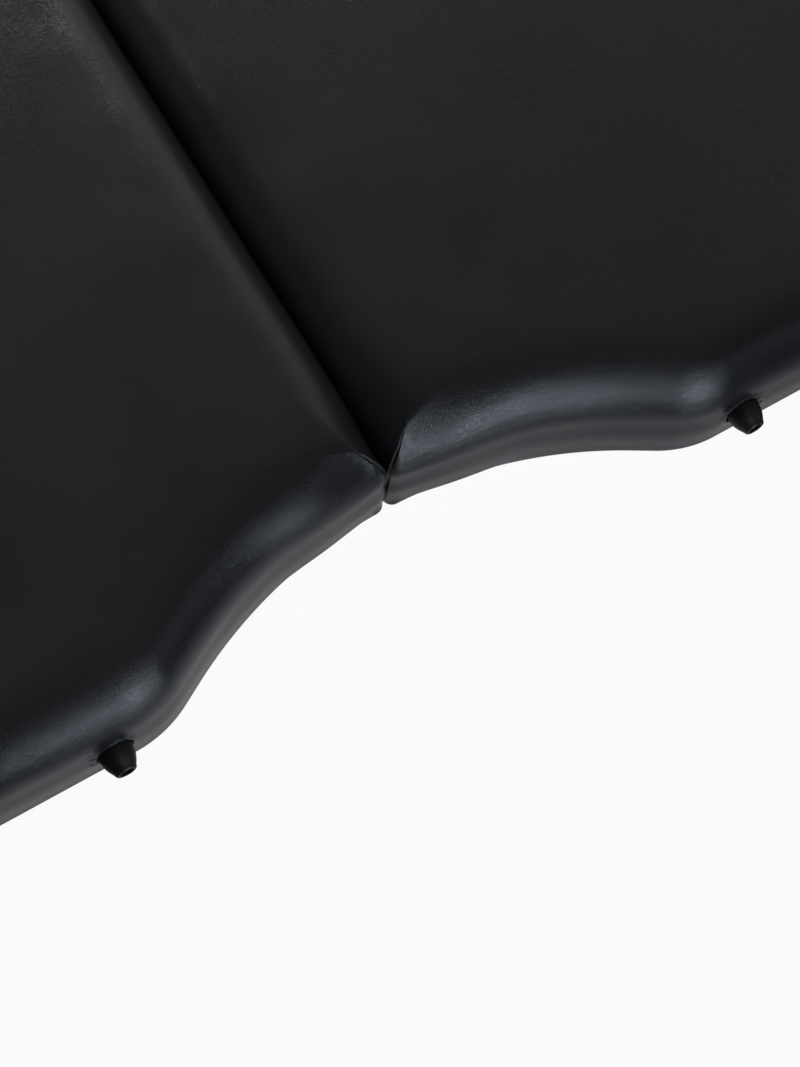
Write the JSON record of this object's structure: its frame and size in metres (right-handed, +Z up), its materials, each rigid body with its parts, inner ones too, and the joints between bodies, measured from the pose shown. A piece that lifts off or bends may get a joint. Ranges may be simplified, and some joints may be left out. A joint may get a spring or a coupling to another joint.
{
  "type": "folding massage table",
  "caption": "Folding massage table with an hourglass waist: black padded halves on a fold hinge, swing-up wooden leg frames with sliding extensions, rubber bumpers and carrying handles.",
  "frame": {"origin": "on the floor under the middle of the fold between the two halves, with the table open on its legs", "axes": "+X along the table towards the right half, +Y across it towards the side with the carrying handles, +Z up"},
  "size_m": [1.85, 0.7776, 0.648],
  "materials": {
    "leatherette": "semi-matte black, fine grain",
    "foam": "open-cell cream foam",
    "plywood": "sanded birch plywood",
    "beech": "satin lacquered beech",
    "steel": "bright zinc plate",
    "rubber": "matt black",
    "plastic": "satin black"
  },
  "bodies": {
    "left_half": {"left_cover": "leatherette", "left_foam": "foam", "left_deck": "plywood", "left_front_rail": "beech", "left_rear_rail": "beech", "left_hinge_rail": "beech", "left_end_rail": "beech", "left_hinge_leaf": "steel", "fold_hinge_pin": "steel", "left_pivot_batten": "beech", "left_front_pivot_bolt": "steel", "left_rear_pivot_bolt": "steel", "left_deck_bracket": "steel", "left_inner_bumper": "rubber", "left_outer_bumper": "rubber", "left_handle_plate": "plastic"},
    "right_half": {"right_cover": "leatherette", "right_foam": "foam", "right_deck": "plywood", "right_front_rail": "beech", "right_rear_rail": "beech", "right_hinge_rail": "beech", "right_end_rail": "beech", "right_hinge_leaf": "steel", "right_pivot_batten": "beech", "right_front_pivot_bolt": "steel", "right_rear_pivot_bolt": "steel", "right_deck_bracket": "steel", "right_inner_bumper": "rubber", "right_outer_bumper": "rubber", "right_handle_plate": "plastic", "right_latch_stud": "steel"},
    "left_leg_frame": {"left_front_upper_leg": "beech", "left_rear_upper_leg": "beech", "left_stretcher": "beech", "left_leg_bracket": "steel"},
    "right_leg_frame": {"right_front_upper_leg": "beech", "right_rear_upper_leg": "beech", "right_stretcher": "beech", "right_leg_bracket": "steel"},
    "left_upper_link": {"left_upper_stay": "steel"},
    "left_lower_link": {"left_lower_stay": "steel"},
    "right_upper_link": {"right_upper_stay": "steel"},
    "right_lower_link": {"right_lower_stay": "steel"},
    "left_front_extension": {"left_front_leg_extension": "beech", "left_front_foot": "rubber"},
    "left_rear_extension": {"left_rear_leg_extension": "beech", "left_rear_foot": "rubber"},
    "right_front_extension": {"right_front_leg_extension": "beech", "right_front_foot": "rubber"},
    "right_rear_extension": {"right_rear_leg_extension": "beech", "right_rear_foot": "rubber"},
    "left_front_knob": {"left_front_clamp_knob": "plastic"},
    "left_rear_knob": {"left_rear_clamp_knob": "plastic"},
    "right_front_knob": {"right_front_clamp_knob": "plastic"},
    "right_rear_knob": {"right_rear_clamp_knob": "plastic"},
    "left_bail": {"left_handle_bail": "plastic"},
    "right_bail": {"right_handle_bail": "plastic"},
    "latch_hook": {"left_latch_hook": "steel"}
  },
  "joints": [
    {"name": "centre_fold", "type": "hinge", "parent": "left_half", "child": "right_half", "pos_m": [0, 0, 0.5379], "axis": [0, 1, 0], "range_deg": [0, 180]},
    {"name": "left_leg_fold", "type": "hinge", "parent": "left_half", "child": "left_leg_frame", "pos_m": [-0.86, -0.014, 0.56405], "axis": [0, -1, 0], "range_deg": [0, 90]},
    {"name": "right_leg_fold", "type": "hinge", "parent": "right_half", "child": "right_leg_frame", "pos_m": [0.86, 0.014, 0.56405], "axis": [0, 1, 0], "range_deg": [0, 90]},
    {"name": "left_upper_stay_turn", "type": "hinge", "parent": "left_half", "child": "left_upper_link", "pos_m": [-0.56, -0.014, 0.56405], "axis": [0, 1, 0], "range_deg": [0, 47.18]},
    {"name": "left_lower_stay_turn", "type": "hinge", "parent": "left_leg_frame", "child": "left_lower_link", "pos_m": [-0.86, -0.014, 0.24035], "axis": [0, -1, 0], "range_deg": [0, 42.83]},
    {"name": "right_upper_stay_turn", "type": "hinge", "parent": "right_half", "child": "right_upper_link", "pos_m": [0.56, 0.014, 0.56405], "axis": [0, -1, 0], "range_deg": [0, 47.18]},
    {"name": "right_lower_stay_turn", "type": "hinge", "parent": "right_leg_frame", "child": "right_lower_link", "pos_m": [0.86, 0.014, 0.24035], "axis": [0, 1, 0], "range_deg": [0, 42.83]},
    {"name": "left_front_leg_slide", "type": "slide", "parent": "left_leg_frame", "child": "left_front_extension", "axis": [0, 0, -1], "range_m": [0, 0.2]},
    {"name": "left_rear_leg_slide", "type": "slide", "parent": "left_leg_frame", "child": "left_rear_extension", "axis": [0, 0, -1], "range_m": [0, 0.2]},
    {"name": "right_front_leg_slide", "type": "slide", "parent": "right_leg_frame", "child": "right_front_extension", "axis": [0, 0, -1], "range_m": [0, 0.2]},
    {"name": "right_rear_leg_slide", "type": "slide", "parent": "right_leg_frame", "child": "right_rear_extension", "axis": [0, 0, -1], "range_m": [0, 0.2]},
    {"name": "left_front_knob_turn", "type": "hinge", "parent": "left_front_extension", "child": "left_front_knob", "pos_m": [-0.86, -0.264, 0.44575], "axis": [0, 1, 0], "continuous": true},
    {"name": "left_rear_knob_turn", "type": "hinge", "parent": "left_rear_extension", "child": "left_rear_knob", "pos_m": [-0.86, 0.236, 0.44575], "axis": [0, 1, 0], "continuous": true},
    {"name": "right_front_knob_turn", "type": "hinge", "parent": "right_front_extension", "child": "right_front_knob", "pos_m": [0.86, -0.236, 0.44575], "axis": [0, 1, 0], "continuous": true},
    {"name": "right_rear_knob_turn", "type": "hinge", "parent": "right_rear_extension", "child": "right_rear_knob", "pos_m": [0.86, 0.264, 0.44575], "axis": [0, 1, 0], "continuous": true},
    {"name": "left_bail_swing", "type": "hinge", "parent": "left_half", "child": "left_bail", "pos_m": [-0.55, 0.3818, 0.6], "axis": [1, 0, 0], "range_deg": [0, 90]},
    {"name": "right_bail_swing", "type": "hinge", "parent": "right_half", "child": "right_bail", "pos_m": [0.55, 0.3818, 0.6], "axis": [1, 0, 0], "range_deg": [0, 90]},
    {"name": "latch_swing", "type": "hinge", "parent": "left_half", "child": "latch_hook", "pos_m": [-0.74, 0.3703, 0.57], "axis": [0, -1, 0], "range_deg": [0, 90]}
  ],
  "couplings": [
    {"joint": "left_leg_fold", "follows": "centre_fold", "ratio": 0.5},
    {"joint": "right_leg_fold", "follows": "centre_fold", "ratio": 0.5},
    {"joint": "left_upper_stay_turn", "follows": "centre_fold", "ratio": 0.26209},
    {"joint": "left_lower_stay_turn", "follows": "centre_fold", "ratio": 0.23791},
    {"joint": "right_upper_stay_turn", "follows": "centre_fold", "ratio": 0.26209},
    {"joint": "right_lower_stay_turn", "follows": "centre_fold", "ratio": 0.23791}
  ]
}
